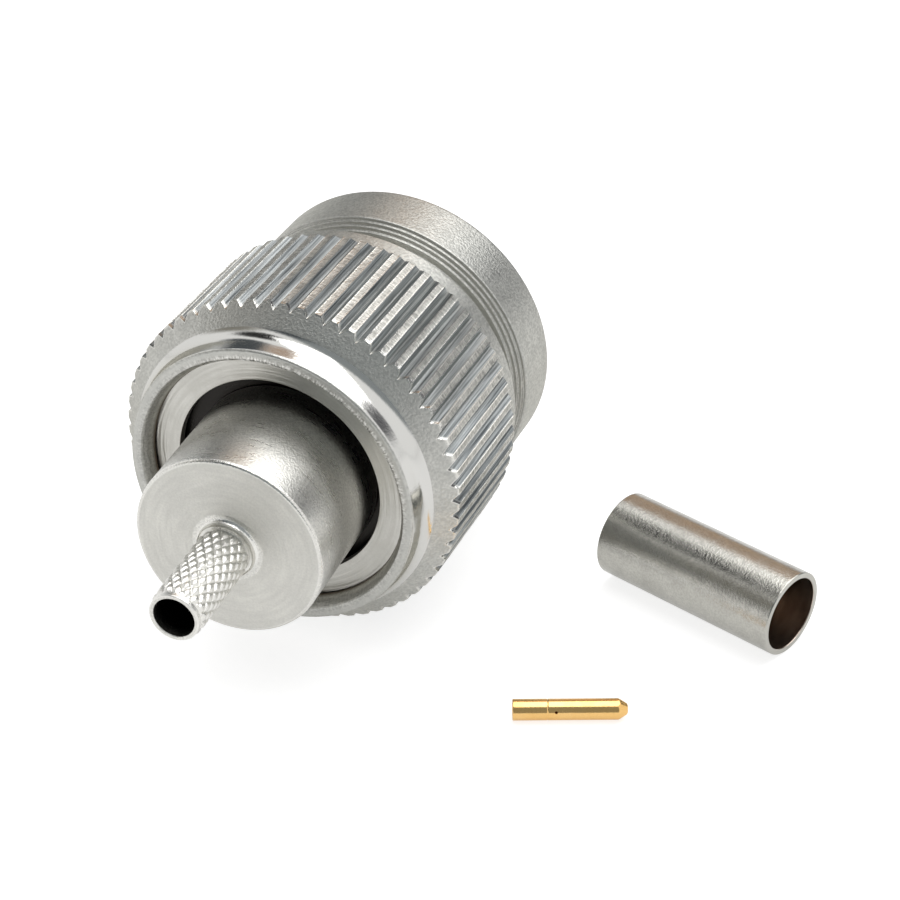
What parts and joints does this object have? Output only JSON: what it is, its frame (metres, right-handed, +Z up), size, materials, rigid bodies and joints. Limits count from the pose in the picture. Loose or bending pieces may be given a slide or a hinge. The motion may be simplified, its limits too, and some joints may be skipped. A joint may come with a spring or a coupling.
{
  "type": "tnc connector",
  "caption": "Straight threaded coaxial crimp plug with a knurled coupling nut and knurled crimp stem, lying beside its loose tube ferrule and centre contact pin.",
  "frame": {"origin": "middle of the laid-out set, on the surface that it lies on", "axes": "+Z up from that surface, +Y along the coupling nut's axis towards its mating end, +X to the loose ferrule and pin"},
  "size_m": [0.0278, 0.0222, 0.0148],
  "materials": {
    "nut_nickel": "nickel plated, satin",
    "washer_nickel": "nickel plated, satin",
    "body_nickel": "nickel plated, satin",
    "contact_nickel": "nickel plated, satin",
    "silicone": "matte",
    "ptfe": "matte white",
    "gold": "gold plated, polished",
    "ferrule_nickel": "nickel plated, glossy"
  },
  "bodies": {
    "plug": {"plug_body": "body_nickel", "outer_contact": "contact_nickel", "gasket": "silicone", "front_insulator": "ptfe", "rear_insulator": "ptfe", "contact_pin": "gold", "crimp_ferrule": "ferrule_nickel"},
    "washer": {"back_washer": "washer_nickel"},
    "nut": {"coupling_nut": "nut_nickel"}
  },
  "joints": [
    {"name": "nut_float", "type": "slide", "parent": "plug", "child": "washer", "axis": [0, 1, 0], "range_m": [-0.00015, 0.00015]},
    {"name": "nut_spin", "type": "hinge", "parent": "washer", "child": "nut", "pos_m": [-0.00649, -0.00037, 0.0074], "axis": [0, 1, 0], "continuous": true}
  ]
}
